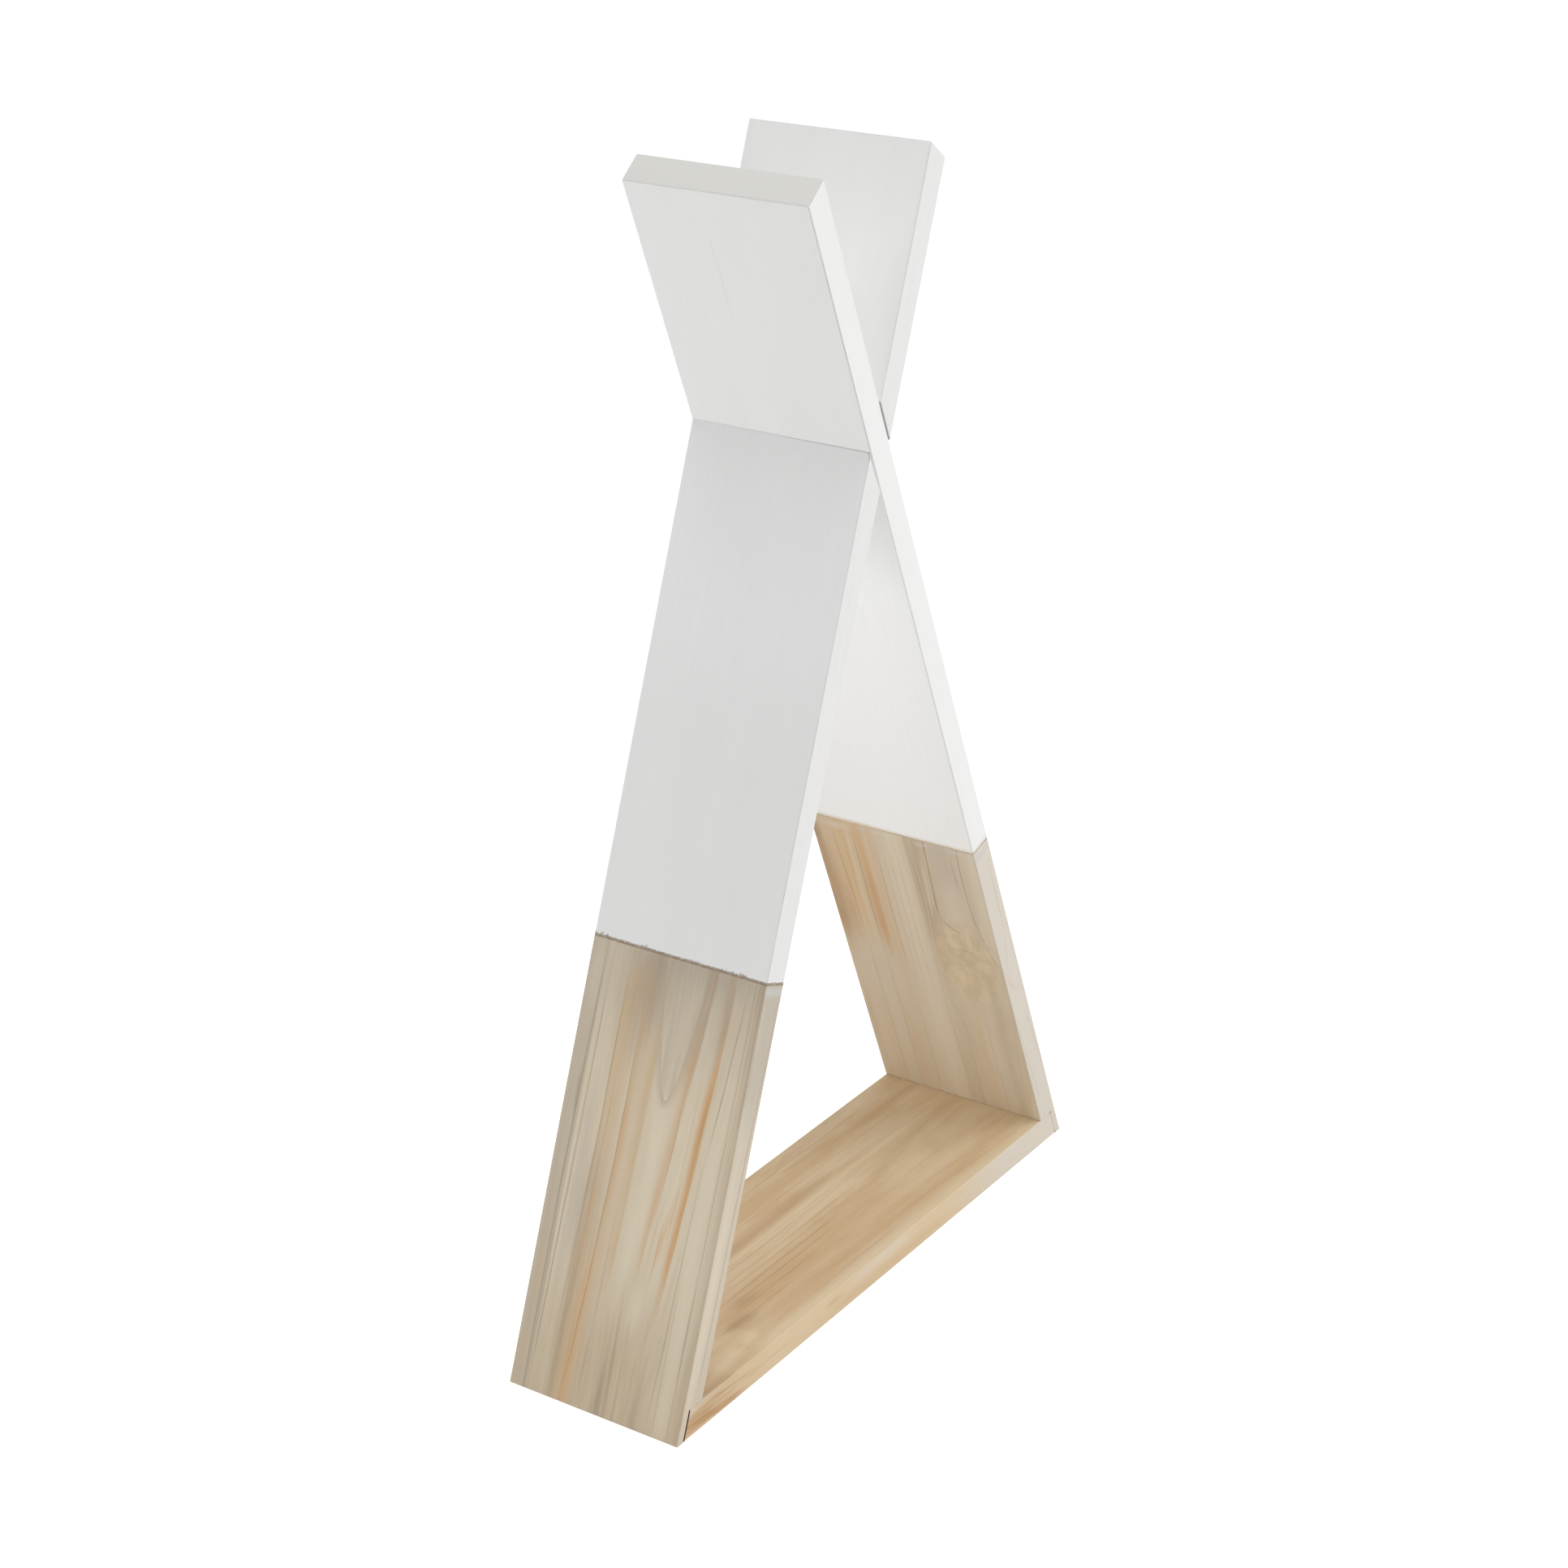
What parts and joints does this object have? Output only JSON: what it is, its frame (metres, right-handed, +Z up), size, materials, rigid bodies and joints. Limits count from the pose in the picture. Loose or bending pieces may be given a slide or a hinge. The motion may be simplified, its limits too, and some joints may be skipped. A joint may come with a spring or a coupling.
{
  "type": "teepee display shelf",
  "caption": "Teepee-shaped display shelf: leaning boards cross in a half lap near the top, painted white above bare wood, with a flat base shelf between their feet.",
  "frame": {"origin": "on the floor, midway between the feet and midway from the front edges to the back edges", "axes": "+Z up, +X from the left foot to the right foot seen from the front, +Y from the front edges to the back edges"},
  "size_m": [0.537, 0.15, 0.8557],
  "materials": {
    "leg_wood": "pale solid wood in satin white paint above a masked line, and bare sanded wood below it",
    "shelf_wood": "bare sanded pale wood, warm and streaked",
    "dowel_wood": "plain turned hardwood"
  },
  "bodies": {
    "root": {"left_leg_main_stave": "leg_wood", "left_leg_rear_stave": "leg_wood", "right_leg_front_stave": "leg_wood", "right_leg_rear_stave": "leg_wood", "shelf_front_stave": "shelf_wood", "shelf_rear_stave": "shelf_wood", "left_dowel_front": "dowel_wood", "left_dowel_middle": "dowel_wood", "left_dowel_rear": "dowel_wood", "right_dowel_front": "dowel_wood", "right_dowel_middle": "dowel_wood", "right_dowel_rear": "dowel_wood"}
  },
  "joints": []
}
